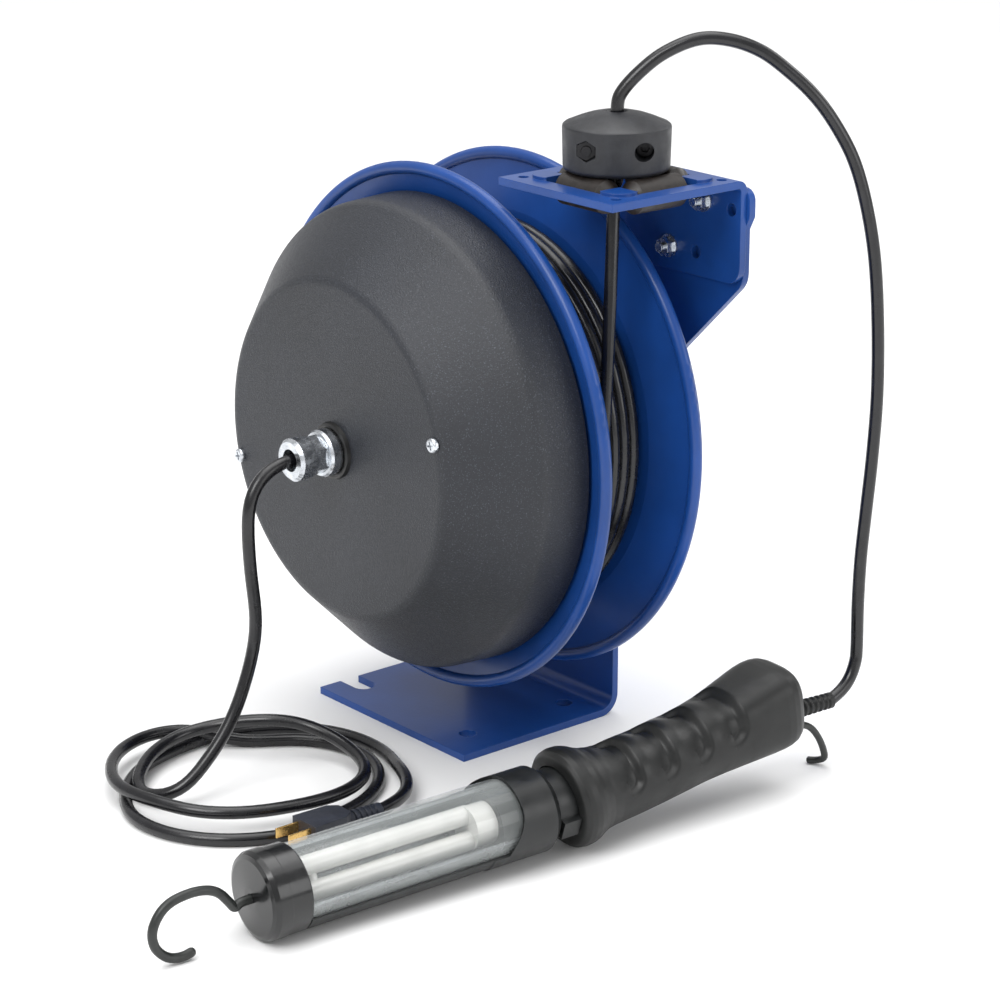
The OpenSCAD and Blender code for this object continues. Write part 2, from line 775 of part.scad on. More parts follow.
module cap_ring() {
    color([0.1, 0.11, 0.12]) on_lamp() lathe([
        [cap_r - 3, 14.5], [cap_r - 0.5, 14.5], [cap_r - 0.5, 27], [cap_r - 1.3, 28],
        [lens_r, 28], [lens_r, 16], [cap_r - 3, 16]
    ]);
}

module lens_tube() {
    in_r = lens_r - 1.6;
    start_x = 19;
    color([0.85, 0.9, 0.9, 0.35]) on_lamp()
        lathe([[in_r, start_x], [lens_r, start_x], [lens_r, lens_end_x], [in_r, lens_end_x]], 96);
}

module lens_gaskets() {
    color([0.05, 0.05, 0.05]) on_lamp() {
        lathe([[18, 16], [lens_r - 0.1, 16], [lens_r - 0.1, 18.9], [18, 18.9]]);
        lathe([
            [18, lens_end_x + 0.1], [lens_r - 0.1, lens_end_x + 0.1], [lens_r - 0.1, 179], [18, 179]
        ]);
    }
}

// Curved backing behind the tubes, open towards the window
module reflector() {
    in_r = 19.8;
    out_r = 21.8;
    edge = -5.5;
    color([0.75, 0.77, 0.77]) on_lamp() translate([21, 0, 0]) rotate([0, 90, 0])
        rotate([0, 0, window_turn]) linear_extrude(150) difference() {
            circle(r = out_r);
            circle(r = in_r);
            translate([edge - 50, -50]) square([50, 100]);
        }
}

// Two joined tubes and their base
module lamp_tubes() {
    tube_r = 6;
    off_y = 2.85;
    off_z = 6.7;
    mid_z = 1;
    color([0.95, 0.95, 0.92]) on_lamp() translate([0, 0, mid_z]) {
        for (s = [-1, 1]) translate([36, s * off_y, s * off_z]) rotate([0, 90, 0]) {
            cylinder(r = tube_r, h = 112);
            sphere(r = tube_r);
        }
        translate([42, -off_y, -off_z]) rotate([-atan2(off_y, off_z), 0, 0])
            cylinder(r = 3, h = 2 * norm([off_y, off_z]));
        translate([146, 0, 0]) rotate([0, 90, 0]) cylinder(r = 12.8, h = 14);
    }
}

module lamp_socket() {
    color([0.13, 0.13, 0.14]) on_lamp() translate([160.1, 0, 0]) rotate([0, 90, 0])
        cylinder(r = 17.8, h = 22);
}

// Collar and the tray that runs from it along the lens's underside, round a wide window
module lamp_collar() {
    tray_r = lens_r + 1.4;
    window_end = 171;
    window_half = cap_r + 0.5;
    corner = 14;
    window = concat(
        [[20, -window_half]],
        arc([window_end - corner, corner - window_half], corner, -90, 0, 8),
        arc([window_end - corner, window_half - corner], corner, 0, 90, 8),
        [[20, window_half]]
    );
    color([0.12, 0.13, 0.13]) on_lamp() difference() {
        lathe([
            [lens_r, 28.1], [tray_r, 28.1], [tray_r, collar_x], [cap_r - 0.5, collar_x],
            [cap_r, collar_x + 1], [cap_r, collar_end_x - 5], [cap_r - 2, collar_end_x - 2],
            [22, collar_end_x], [18, collar_end_x], [18, 179.1], [lens_r, 179.1]
        ]);
        rotate([window_turn, 0, 0]) linear_extrude(40) polygon(window);
    }
}

module neck_ring() {
    color([0.12, 0.13, 0.13]) on_lamp() {
        lathe([
            [15, collar_end_x - 10], [17.9, collar_end_x - 10], [17.9, collar_end_x + 0.1],
            [21, collar_end_x + 0.1], [21, neck_x + 8], [15, neck_x + 8]
        ]);
        rotate([110, 0, 0]) translate([collar_end_x + 1, -6, 20]) cube([12, 12, 4]);
    }
}

// Hollow grip that flares at both ends and rises towards its tail
module lamp_handle() {
    outside = [
        [22, 8], [22, -1], [28, 0], [31, 4], [31, 11], [28, 17], [25, 28], [24, 40], [24, 110],
        [25, 125], [27.5, 142], [28.5, 155], [28, 165], [25.5, 171], [20, handle_l]
    ];
    inside = [
        [7.2, handle_l], [7.2, 170], [20, 165], [24, 155], [23, 140], [20.5, 120], [20, 110], [20, 34],
        [23, 14]
    ];
    color([0.13, 0.14, 0.14]) on_handle() difference() {
        lathe(concat(outside, inside));
        translate([150, 0, hook_drop]) rotate([0, 90, 0]) cylinder(r = 2.25, h = 35);
        translate([90, 18, -7]) cube([20, 20, 14]);
    }
}

module ballast() {
    color([0.5, 0.5, 0.52]) on_handle() translate([22, -10, -13]) cube([60, 20, 26]);
}

// Rocker switch in the handle's far side
module switch_rocker() {
    color([0.1, 0.1, 0.1]) on_handle() translate([100, 22, 0]) {
        translate([-9, -2, -6.4]) cube([18, 4.2, 12.8]);
        translate([0, 0, -6.4]) cylinder(r = 2.6, h = 12.8);
    }
}

// Ribbed relief that leaves the tail level and tapers to the cord
module lamp_relief() {
    root_r = 5.7;
    tip_r = 5.1;
    groove = 1.1;
    length = 36;
    ribs = 7;
    start_x = 0.9;
    pitch = (length - 6) / ribs;
    color([0.1, 0.11, 0.11]) on_handle() translate([handle_l, 0, relief_drop])
        rotate([0, handle_pitch + lamp_pitch, 0]) lathe(concat(
            [[0, start_x], [root_r, start_x], [root_r, 3]],
            [for (i = [0:ribs - 1], k = [0:3])
                let (x = 3 + i * pitch, r = root_r + (tip_r - root_r) * (i + k / 4) / ribs)
                    [k == 1 || k == 2 ? r : r - groove, x + k * pitch / 4]],
            [[tip_r, length - 3], [tip_r, length], [0, length]]
        ), 40);
}

// Bent wire that swivels in the handle's tail, its foot on the floor
module tail_hook() {
    wire_r = 2.2;
    wire = [
        [157, 0, hook_drop], [166, 0, hook_drop], [174, 0, hook_drop], [180, 0, hook_drop - 1],
        [187, 0, -20.5], [194, 0, -25.5], [199.5, 0, -34.5], [203.5, 1, -45], [205, 3, -51.5],
        [203, 8, -54.2], [199, 13, -54.2]
    ];
    color([0.1, 0.11, 0.11]) on_handle() tube(smooth(wire, 3), wire_r, 10);
}

// ---- Free cords and plug ----

module lamp_cord() {
    color([0.07, 0.07, 0.08]) tube(smooth(lamp_route, 3), cord_r, 12);
}

module feeder_drop() {
    color([0.07, 0.07, 0.08]) tube(smooth(drop_route, 2), cord_r, 8);
}

module feeder_coil() {
    color([0.07, 0.07, 0.08]) translate([coil_at[0], coil_at[1], 0]) ring(coil_out_r, coil_in_r, coil_h);
}

module feeder_tail() {
    color([0.07, 0.07, 0.08]) tube(smooth(tail_route, 2), cord_r, 8);
}

// Moulded plug: a flat-sided body with a ribbed relief, its pins towards -X
module plug_body() {
    half_w = 11.5;
    half_h = 8.8;
    neck_r = 6;
    relief_l = 26;
    groove_pitch = 4;
    outline = [
        [-plug_l, -half_w], [-plug_l, half_w], [-6, half_w - 1], [0, neck_r], [0, -neck_r], [-6, 1 - half_w]
    ];
    color([0.08, 0.08, 0.09]) translate(plug_at) difference() {
        union() {
            translate([0, 0, -half_h]) linear_extrude(2 * half_h) polygon(outline);
            rotate([0, 90, 0]) cylinder(r1 = neck_r, r2 = 5, h = relief_l);
        }
        for (i = [1:5]) translate([i * groove_pitch, 0, 0]) rotate([0, 90, 0]) ring(8, 4.4, 1.6);
    }
}

module plug_pins() {
    face_x = plug_at[0] - plug_l;
    blade_l = 16;
    color([0.8, 0.6, 0.3]) {
        for (s = [-1, 1]) translate([face_x - blade_l, plug_at[1] + s * 6.35 - 0.75, plug_at[2] + 0.5])
            cube([blade_l + 3, 1.5, 6.3]);
        translate([face_x - blade_l - 2, plug_at[1], plug_at[2] - 5.2]) rotate([0, 90, 0])
            cylinder(r = 2.4, h = blade_l + 5);
    }
}

base_frame();
axle();
axle_bolts();
guide_bracket();
guide_bolts();
guide_nuts();
roller_pins();
roller_left();
roller_right();
roller_near();
roller_far();
stop_half_near();
stop_half_far();
stop_screws();
stop_nuts();
reel_cord_run();
front_disc();
back_disc();
drum_core();
front_hub();
rear_hub();
bushings();
mainspring();
ratchet_wheel();
pawl();
pawl_post();
pawl_spring();
dome_cover();
cover_posts();
cover_screws();
cover_seal();
cord_winding();
slip_ring_core();
slip_rings();
brush_holder();
brushes();
gland_body();
gland_nut();
gland_grommet();
lamp_hook();
lamp_cap();
cap_ring();
lens_tube();
lens_gaskets();
reflector();
lamp_tubes();
lamp_socket();
lamp_collar();
neck_ring();
lamp_handle();
ballast();
switch_rocker();
lamp_relief();
tail_hook();
lamp_cord();
feeder_drop();
feeder_coil();
feeder_tail();
plug_body();
plug_pins();
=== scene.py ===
import json
import math
import random

import bmesh
import bpy
from mathutils import Matrix, Vector


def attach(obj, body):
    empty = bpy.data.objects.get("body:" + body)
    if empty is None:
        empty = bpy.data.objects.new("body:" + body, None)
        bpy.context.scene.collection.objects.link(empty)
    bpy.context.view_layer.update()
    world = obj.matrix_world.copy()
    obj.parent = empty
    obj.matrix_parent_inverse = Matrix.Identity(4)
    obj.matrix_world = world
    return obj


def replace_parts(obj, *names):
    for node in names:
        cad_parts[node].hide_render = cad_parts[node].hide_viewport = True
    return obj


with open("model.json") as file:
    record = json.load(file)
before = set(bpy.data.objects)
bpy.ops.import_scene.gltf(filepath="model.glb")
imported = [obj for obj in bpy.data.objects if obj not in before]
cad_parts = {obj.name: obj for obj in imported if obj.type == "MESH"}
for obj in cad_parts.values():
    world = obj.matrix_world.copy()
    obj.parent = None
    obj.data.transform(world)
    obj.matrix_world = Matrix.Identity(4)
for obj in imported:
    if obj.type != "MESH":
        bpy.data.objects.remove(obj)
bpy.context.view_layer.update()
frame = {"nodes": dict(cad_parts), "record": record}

NODES = frame["nodes"]
BODY_OF = {n: b for b, ns in frame["record"]["behaviour"]["bodies"].items() for n in ns}
SLOT_OF = {row["node"]: row["material_slot"] for row in frame["record"]["subparts"]}
random.seed(7)

# Lengths below are in millimetres unless they are passed to Blender
MM = 0.001
CORD_R = 4.0
AXLE_Y, AXLE_Z = -21, 205

# ---------------------------------------------------------------- camera
AZIMUTH, ELEVATION = math.radians(-39.984), math.radians(18.134)
back = Vector((math.sin(AZIMUTH) * math.cos(ELEVATION), -math.cos(AZIMUTH) * math.cos(ELEVATION),
               math.sin(ELEVATION)))
cam_data = bpy.data.cameras.new("camera")
cam_data.lens = 105.9
cam_data.sensor_width = 36.0
cam_data.clip_end = 60.0
camera = bpy.data.objects.new("camera", cam_data)
camera.location = (-1.1521, -1.4072, 0.7374)
camera.rotation_mode = "QUATERNION"
camera.rotation_quaternion = (-back).to_track_quat("-Z", "Y")
bpy.context.scene.collection.objects.link(camera)
bpy.context.scene.camera = camera


# ---------------------------------------------------------------- materials
# Noise scale of the slow change of tone under a speckled coat
SLOW_TONE = 9.0
# Rays with which the shader rounds an edge
BEVEL_SAMPLES = 4


class Shade:
    """A material built from a Principled shader with noise in its colour, roughness and bump."""

    def __init__(self, name, color, rough, metal=0.0, **sockets):
        self.material = bpy.data.materials.new(name)
        self.material.use_nodes = True
        self.tree = self.material.node_tree
        self.shader = self.tree.nodes["Principled BSDF"]
        self.coords = self.tree.nodes.new("ShaderNodeTexCoord")
        self.color = color
        self.shader.inputs["Base Color"].default_value = (*color, 1)
        self.shader.inputs["Roughness"].default_value = rough
        self.shader.inputs["Metallic"].default_value = metal
        for key, value in sockets.items():
            self.shader.inputs[key.replace("_", " ")].default_value = value
        self.normal = None

    def node(self, kind, **inputs):
        made = self.tree.nodes.new(kind)
        for key, value in inputs.items():
            made.inputs[key.replace("_", " ")].default_value = value
        return made

    def link(self, a, b):
        self.tree.links.new(a, b)

    def noise(self, scale, detail=4.0, rough=0.6, stretch=None):
        out = self.node("ShaderNodeTexNoise", Scale=scale, Detail=detail, Roughness=rough)
        source = self.coords.outputs["Object"]
        if stretch:
            mapping = self.node("ShaderNodeMapping", Scale=stretch)
            self.link(source, mapping.inputs["Vector"])
            source = mapping.outputs["Vector"]
        self.link(source, out.inputs["Vector"])
        return out.outputs["Fac"]

    def ramp(self, value, low, high, start, end):
        made = self.tree.nodes.new("ShaderNodeValToRGB")
        made.color_ramp.elements[0].position, made.color_ramp.elements[1].position = start, end
        made.color_ramp.elements[0].color, made.color_ramp.elements[1].color = (*low, 1), (*high, 1)
        self.link(value, made.inputs["Fac"])
        return made.outputs["Color"]

    def vary_color(self, scale, low, high, **kw):
        dark = [v * low for v in self.color]
        light = [min(v * high, 1) for v in self.color]
        tone = self.ramp(self.noise(scale, **kw), dark, light, 0.35, 0.65)
        self.link(tone, self.shader.inputs["Base Color"])
        return self

    def speckle(self, scale, low, high, fleck, at):
        """Fine grain in the colour with sparse lighter flecks, over a slow change of tone."""
        dark = [v * low for v in self.color]
        light = [v * high for v in self.color]
        slow = self.ramp(self.noise(SLOW_TONE, 2.0), dark, light, 0.3, 0.7)
        fine = self.ramp(self.noise(scale, 2.0, 0.5), (0, 0, 0), (1, 1, 1), at, at + 0.1)
        mix = self.tree.nodes.new("ShaderNodeMix")
        mix.data_type = "RGBA"
        self.link(fine, mix.inputs["Factor"])
        self.link(slow, mix.inputs["A"])
        mix.inputs["B"].default_value = (*fleck, 1)
        self.link(mix.outputs["Result"], self.shader.inputs["Base Color"])
        return self

    def vary_rough(self, scale, low, high, **kw):
        out = self.node("ShaderNodeMapRange", From_Min=0.3, From_Max=0.7, To_Min=low, To_Max=high)
        self.link(self.noise(scale, **kw), out.inputs["Value"])
        self.link(out.outputs["Result"], self.shader.inputs["Roughness"])
        return self

    def edges(self, radius):
        bevel = self.node("ShaderNodeBevel", Radius=radius)
        bevel.samples = BEVEL_SAMPLES
        self.normal = bevel.outputs["Normal"]
        self.link(self.normal, self.shader.inputs["Normal"])
        return self

    def bump(self, scale, distance, strength=0.5, **kw):
        out = self.node("ShaderNodeBump", Strength=strength, Distance=distance)
        self.link(self.noise(scale, **kw), out.inputs["Height"])
        if self.normal:
            self.link(self.normal, out.inputs["Normal"])
        self.normal = out.outputs["Normal"]
        self.link(self.normal, self.shader.inputs["Normal"])
        return self


SHADES = {}


def shade(slot, color, rough, metal=0.0, **sockets):
    SHADES[slot] = Shade(slot, color, rough, metal, **sockets)
    return SHADES[slot]


shade("blue_paint", (0.009, 0.056, 0.25), 0.32, Coat_Weight=0.15, Coat_Roughness=0.12,
      Specular_IOR_Level=0.35) \
    .vary_color(11, 0.84, 1.16).edges(0.0007).bump(420, 0.00012, 0.35).bump(60, 0.0004, 0.08)
shade("black_powder_coat", (0.0135, 0.0155, 0.021), 0.4, Specular_IOR_Level=0.5) \
    .speckle(1300, 0.8, 1.25, (0.06, 0.068, 0.085), at=0.6).vary_rough(800, 0.3, 0.52) \
    .bump(950, 0.0006, 0.75).bump(260, 0.0003, 0.2)
shade("zinc", (0.66, 0.69, 0.73), 0.24, 1.0) \
    .vary_color(160, 0.72, 1.1).vary_rough(240, 0.14, 0.36).edges(0.0003).bump(700, 0.0001, 0.2)
shade("black_screw", (0.02, 0.02, 0.022), 0.35, 0.6).vary_rough(500, 0.25, 0.5).edges(0.0002)
shade("spring_steel", (0.2, 0.21, 0.25), 0.32, 1.0) \
    .vary_color(60, 0.8, 1.15).vary_rough(300, 0.22, 0.45).bump(800, 0.0001, 0.2)
shade("roller_nylon", (0.017, 0.013, 0.011), 0.42) \
    .vary_color(220, 0.7, 1.35).vary_rough(180, 0.3, 0.55).edges(0.0003).bump(900, 0.0001, 0.25)
shade("stop_rubber", (0.0145, 0.0155, 0.019), 0.46) \
    .vary_color(130, 0.8, 1.25).vary_rough(90, 0.34, 0.56).edges(0.0005) \
    .bump(26, 0.0004, 0.2, stretch=(1, 1, 26)).bump(1400, 0.00014, 0.35)
shade("cord_jacket", (0.006, 0.006, 0.0075), 0.24, Specular_IOR_Level=0.55) \
    .vary_color(90, 0.7, 1.5).vary_rough(70, 0.16, 0.34).bump(500, 0.00012, 0.25)
shade("bronze", (0.42, 0.27, 0.12), 0.4, 1.0).vary_color(400, 0.7, 1.15).vary_rough(300, 0.3, 0.5)
shade("brass", (0.72, 0.47, 0.17), 0.22, 1.0) \
    .vary_color(140, 0.8, 1.15).vary_rough(260, 0.14, 0.34).edges(0.0003)
shade("phenolic", (0.06, 0.032, 0.018), 0.5).vary_color(200, 0.7, 1.4).vary_rough(150, 0.4, 0.6)
shade("carbon", (0.03, 0.03, 0.034), 0.6).vary_color(500, 0.7, 1.4).vary_rough(300, 0.5, 0.7)
shade("black_rubber", (0.010, 0.010, 0.010), 0.4) \
    .vary_color(120, 0.7, 1.4).vary_rough(150, 0.3, 0.5).bump(900, 0.0001, 0.2)
shade("lamp_black_gloss", (0.007, 0.0075, 0.008), 0.2, Coat_Weight=0.15, Coat_Roughness=0.07) \
    .vary_color(60, 0.8, 1.25).vary_rough(120, 0.12, 0.26).edges(0.0005).bump(600, 0.00008, 0.12)
shade("lamp_black_satin", (0.009, 0.01, 0.0105), 0.36, Specular_IOR_Level=0.45) \
    .vary_color(70, 0.8, 1.25).vary_rough(140, 0.28, 0.46).edges(0.0005).bump(1200, 0.0001, 0.25)
shade("handle_black", (0.0075, 0.008, 0.008), 0.42, Specular_IOR_Level=0.42) \
    .vary_color(50, 0.75, 1.3).vary_rough(60, 0.34, 0.52).bump(1300, 0.00014, 0.3).bump(160, 0.0002, 0.06)
shade("hook_black", (0.016, 0.018, 0.017), 0.38) \
    .vary_color(120, 0.8, 1.3).vary_rough(150, 0.3, 0.5).bump(900, 0.0001, 0.22)
shade("reflector_grey", (0.17, 0.18, 0.185), 0.24, 0.8) \
    .vary_color(30, 0.7, 1.2, stretch=(1, 9, 9)).vary_rough(60, 0.2, 0.4)
shade("lamp_glass_white", (0.6, 0.6, 0.575), 0.14, Coat_Weight=0.5, Coat_Roughness=0.05) \
    .vary_color(26, 0.88, 1.05).vary_rough(80, 0.1, 0.2)
shade("ballast_steel", (0.32, 0.32, 0.34), 0.45, 0.8).vary_color(80, 0.8, 1.2)
shade("plug_black", (0.014, 0.017, 0.027), 0.42) \
    .vary_color(80, 0.8, 1.3).vary_rough(120, 0.34, 0.52).edges(0.0006).bump(900, 0.0001, 0.22)

# Clear plastic: see-through where it faces the eye and brighter at its edges
lens = shade("clear_lens", (0.62, 0.66, 0.66), 0.05, Specular_IOR_Level=1.0, Coat_Weight=1.0,
             Coat_Roughness=0.02)
facing = lens.node("ShaderNodeLayerWeight", Blend=0.32)
opacity = lens.node("ShaderNodeMapRange", From_Min=0.0, From_Max=1.0, To_Min=0.05, To_Max=0.5)
lens.link(facing.outputs["Facing"], opacity.inputs["Value"])
lens.link(opacity.outputs["Result"], lens.shader.inputs["Alpha"])
lens.vary_rough(40, 0.03, 0.09)
lens.vary_color(24, 0.9, 1.08, stretch=(1, 8, 8))

for node, slot in SLOT_OF.items():
    NODES[node].data.materials.clear()
    NODES[node].data.materials.append(SHADES[slot].material)


# ---------------------------------------------------------------- helpers
# A relaxed line: how far apart its points are, how far each pass pulls them in and lets them
# out again so that the loops keep their size, how many points each end holds still, and how
# far it stays off the floor
RELAX_SPACING = 5
RELAX_HELD = 2
RELAX_IN, RELAX_OUT = 0.5, -0.47
FLOOR_GAP = 0.02

# Rounded copies: angles in degrees, the welding distance in metres
BEVEL_SEGMENTS = 2
BEVEL_ANGLE = 32.0
FLAT_ANGLE = 0.6
WELD = 2e-6
ALL_SMOOTH = 180.0

WIRE_ROUNDNESS = 5


def spline(points, steps):
    """A smooth route through the points, the same one that the solids follow."""
    p = [Vector(q) for q in points]
    out = []
    for i in range(len(p) - 1):
        a, b, c, d = p[max(i - 1, 0)], p[i], p[i + 1], p[min(i + 2, len(p) - 1)]
        for s in range(steps):
            t = s / steps
            out.append(0.5 * (2 * b + (c - a) * t + (2 * a - 5 * b + 4 * c - d) * t * t
                              + (3 * b - a - 3 * c + d) * t * t * t))
    out.append(p[-1])
    return out


def length_of(points):
    return sum((b - a).length for a, b in zip(points, points[1:]))


def ease(t):
    """Rises smoothly from 0 to 1 as t does, and holds outside."""
    t = min(max(t, 0), 1)
    return t * t * (3 - 2 * t)


def relaxed(points, passes):
    """Points spaced evenly and eased into a softer line, never under the floor."""
    total = length_of(points)
    count = int(total / RELAX_SPACING)
    even, walked, target = [points[0].copy()], 0.0, total / count
    for a, b in zip(points, points[1:]):
        span = (b - a).length
        while walked + span >= target and len(even) < count:
            even.append(a.lerp(b, (target - walked) / span))
            target += total / count
        walked += span
    even.append(points[-1].copy())
    for n in range(2 * passes):
        pull = RELAX_IN if n % 2 == 0 else RELAX_OUT
        moved = [even[i] + ((even[i - 1] + even[i + 1]) / 2 - even[i]) * pull
                 for i in range(RELAX_HELD, len(even) - RELAX_HELD)]
        even[RELAX_HELD:-RELAX_HELD] = moved
        for q in even:
            q.z = max(q.z, CORD_R + FLOOR_GAP)
    return even


def wire(name, points, radius, slot, body, radii=None):
    """A round curve through points in millimetres."""
    data = bpy.data.curves.new(name, "CURVE")
    data.dimensions = "3D"
    data.bevel_depth = radius * MM
    data.bevel_resolution = WIRE_ROUNDNESS
    data.use_fill_caps = True
    line = data.splines.new("POLY")
    line.points.add(len(points) - 1)
    for i, (point, target) in enumerate(zip(points, line.points)):
        target.co = (*(Vector(point) * MM), 1)
        target.radius = radii[i] if radii else 1.0
    line.use_smooth = True
    data.materials.append(SHADES[slot].material)
    obj = bpy.data.objects.new(name, data)
    bpy.context.scene.collection.objects.link(obj)
    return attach(obj, body)


def mesh_piece(name, build, slot, body, smooth_angle):
    """An object from a bmesh that build(bm) fills, in metres."""
    bm = bmesh.new()
    build(bm)
    bmesh.ops.recalc_face_normals(bm, faces=bm.faces)
    data = bpy.data.meshes.new(name)
    bm.to_mesh(data)
    bm.free()
    return finish_piece(name, data, slot, body, smooth_angle)


def finish_piece(name, data, slot, body, smooth_angle):
    """An object from a mesh, with its material, shaded smooth and riding on its body."""
    data.materials.clear()
    data.materials.append(SHADES[slot].material)
    obj = bpy.data.objects.new(name, data)
    bpy.context.scene.collection.objects.link(obj)
    data.polygons.foreach_set("use_smooth", [True] * len(data.polygons))
    data.set_sharp_from_angle(angle=math.radians(smooth_angle))
    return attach(obj, body)


def rounded(node, width):
    """A copy of a CAD node with its edges rounded, which stands for it."""
    bm = bmesh.new()
    bm.from_mesh(NODES[node].data)
    bmesh.ops.remove_doubles(bm, verts=bm.verts, dist=WELD)
    bmesh.ops.dissolve_limit(bm, angle_limit=math.radians(FLAT_ANGLE), verts=bm.verts, edges=bm.edges)
    bmesh.ops.recalc_face_normals(bm, faces=bm.faces)
    data = bpy.data.meshes.new(node + "_rounded")
    bm.to_mesh(data)
    bm.free()
    obj = finish_piece(node + "_rounded", data, SLOT_OF[node], BODY_OF[node], ALL_SMOOTH)
    bevel = obj.modifiers.new("round", "BEVEL")
    bevel.width = width * MM
    bevel.segments = BEVEL_SEGMENTS
    bevel.limit_method = "ANGLE"
    bevel.angle_limit = math.radians(BEVEL_ANGLE)
    flat_faces = obj.modifiers.new("flat_faces", "WEIGHTED_NORMAL")
    flat_faces.weight = 100
    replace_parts(obj, node)


def closed_grid(bm, rows):
    """Faces between rows of points. Each row goes round, and the last row joins the first."""
    verts = [[bm.verts.new(Vector(q) * MM) for q in row] for row in rows]
    count = len(rows[0])
    for i in range(len(rows)):
        for k in range(count):
            j, n = (i + 1) % len(rows), (k + 1) % count
            bm.faces.new((verts[i][k], verts[i][n], verts[j][n], verts[j][k]))


LAMP = (Matrix.Translation((-316, -194, 26)) @ Matrix.Rotation(math.radians(-4.83), 4, "Z")
        @ Matrix.Rotation(math.radians(-1.4), 4, "Y"))
NECK_X = 212.0
HANDLE = LAMP @ Matrix.Translation((NECK_X, 0, 0)) @ Matrix.Rotation(math.radians(-5.8), 4, "Y")

# ---------------------------------------------------------------- cords
LAMP_ROUTE = [
    (3.5, -136.5, 416.6), (5, -137.5, 426), (13, -143.5, 438), (26, -152, 450), (42, -164, 458),
    (58, -175, 457), (73, -186, 450), (86, -196, 438), (98, -205, 424), (109, -212, 407),
    (119, -219, 385), (126, -224, 358), (131, -228, 325), (134, -230, 285), (135, -231, 240),
    (134, -230, 200), (131.5, -229, 165), (129, -228.5, 135), (127.5, -229, 105),
    (127.5, -229.5, 76), (126, -230, 66), (121.5, -230, 56.5), (114.5, -230, 50.2), (105, -229.6, 45.6),
]
LAMP_STEPS = 8
lamp_line = spline(LAMP_ROUTE, LAMP_STEPS)
lamp_cord = wire("lamp_cord_line", lamp_line, CORD_R, "cord_jacket", "stand")
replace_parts(lamp_cord, "lamp_cord")

DROP_ROUTE = [
    (-150, -21, 205), (-159, -21, 205), (-170, -21, 202.5), (-180, -21, 196), (-186, -21, 186),
    (-188, -21, 168), (-187, -21, 140), (-184, -21, 107), (-189, -21, 83), (-199, -21, 58),
    (-212, -21, 38), (-228, -20, 22), (-244, -19, 11),
]
# Loose loops on the floor: degrees round the coil's centre, radius and height
COIL_AT = Vector((-180, -5, 0))
LOOPS = [
    (190, 80, 5), (172, 76, 5), (152, 68, 10), (130, 60, 13), (106, 52, 16), (85, 42, 19), (61, 34, 22.5),
    (38, 31, 24), (18, 36, 24), (0, 45, 21), (-19, 56, 16), (-36, 65, 13), (-54, 75, 12), (-72, 81, 12),
    (-90, 82, 12), (-110, 82, 12), (-128, 85, 12), (-146, 88, 12.5), (-162, 88, 13.5), (-176, 89, 13.5),
    (-190, 90, 13), (-207, 87, 12.5), (-223, 84, 12), (-240, 79, 12), (-256, 70, 12), (-272, 58, 10),
    (-290, 47, 5), (-310, 44, 4), (-330, 50, 4), (-348, 58, 4), (-366, 66, 4), (-384, 74, 4), (-402, 80, 4),
    (-420, 85, 4), (-438, 89, 4), (-455, 93, 4), (-470, 102, 4), (-486, 106, 4), (-502, 107, 4),
    (-518, 104, 4), (-533, 97, 4), (-548, 86, 4), (-565, 76, 4), (-584, 67, 4), (-604, 60, 4),
    (-626, 58, 4), (-648, 60, 4), (-670, 64, 4), (-690, 70, 4), (-708, 76, 4), (-726, 82, 4),
    (-744, 87, 4.5), (-760, 91, 7),
]
TAIL_ROUTE = [(-117, -79, 9), (-126, -95, 9), (-138, -107, 9), (-151, -113.5, 9), (-164, -116, 9)]
FEEDER_STEPS = 6
RELAX_PASSES = 40
loop_points = [COIL_AT + Vector((r * math.cos(math.radians(a)), r * math.sin(math.radians(a)), z))
               for a, r, z in LOOPS]
feeder_line = relaxed(spline(DROP_ROUTE + loop_points[1:] + TAIL_ROUTE, FEEDER_STEPS), RELAX_PASSES)
feeder_cord = wire("feeder_cord_line", feeder_line, CORD_R, "cord_jacket", "stand")
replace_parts(feeder_cord, "feeder_drop", "feeder_coil", "feeder_tail")

# ---------------------------------------------------------------- wound cord on the drum
LAYERS = 4
FIRST_LAYER_R = 105.3
LAYER_STEP = 6.4
TURNS_PER_LAYER = 6
# The part of a turn by which the top layer stops short
TOP_SHORT = 0.25
WIND_X0, WIND_X1 = -31.3, 15.3
STEPS = 60
# How unevenly the turns lie across the drum, and how much the outer layers rise or sink
SHIFT = 1.1
SINK, RISE = -0.3, 0.9


def round_axle(x, r, a):
    """A point beside the drum's axis, at a radius and an angle from the Y axis."""
    return Vector((x, AXLE_Y + r * math.cos(a), AXLE_Z + r * math.sin(a)))


def layer_points(layer):
    """One layer, turn by turn across the drum or back, each turn a little uneven."""
    r = FIRST_LAYER_R + layer * LAYER_STEP
    shift = [random.uniform(-SHIFT, SHIFT) for _ in range(TURNS_PER_LAYER + 2)]
    lift = [random.uniform(SINK, RISE) for _ in range(TURNS_PER_LAYER + 2)]
    turns = TURNS_PER_LAYER - (TOP_SHORT if layer == LAYERS - 1 else 0)
    points = []
    for i in range(int(turns * STEPS)):
        t = i / STEPS
        k = int(t)
        f = ease(t - k)
        x = WIND_X0 + (WIND_X1 - WIND_X0) * t / TURNS_PER_LAYER
        x += shift[k] * (1 - f) + shift[k + 1] * f
        if layer % 2:
            x = WIND_X0 + WIND_X1 - x
        rr = r + (lift[k] * (1 - f) + lift[k + 1] * f) * (layer / (LAYERS - 1))
        points.append(round_axle(x, rr, 2 * math.pi * (layer * TURNS_PER_LAYER + t)))
    return points


layers = [wire(f"wound_cord_{layer + 1}", layer_points(layer), CORD_R, "cord_jacket", "drum")
          for layer in range(LAYERS)]
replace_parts(layers[0], "cord_winding")

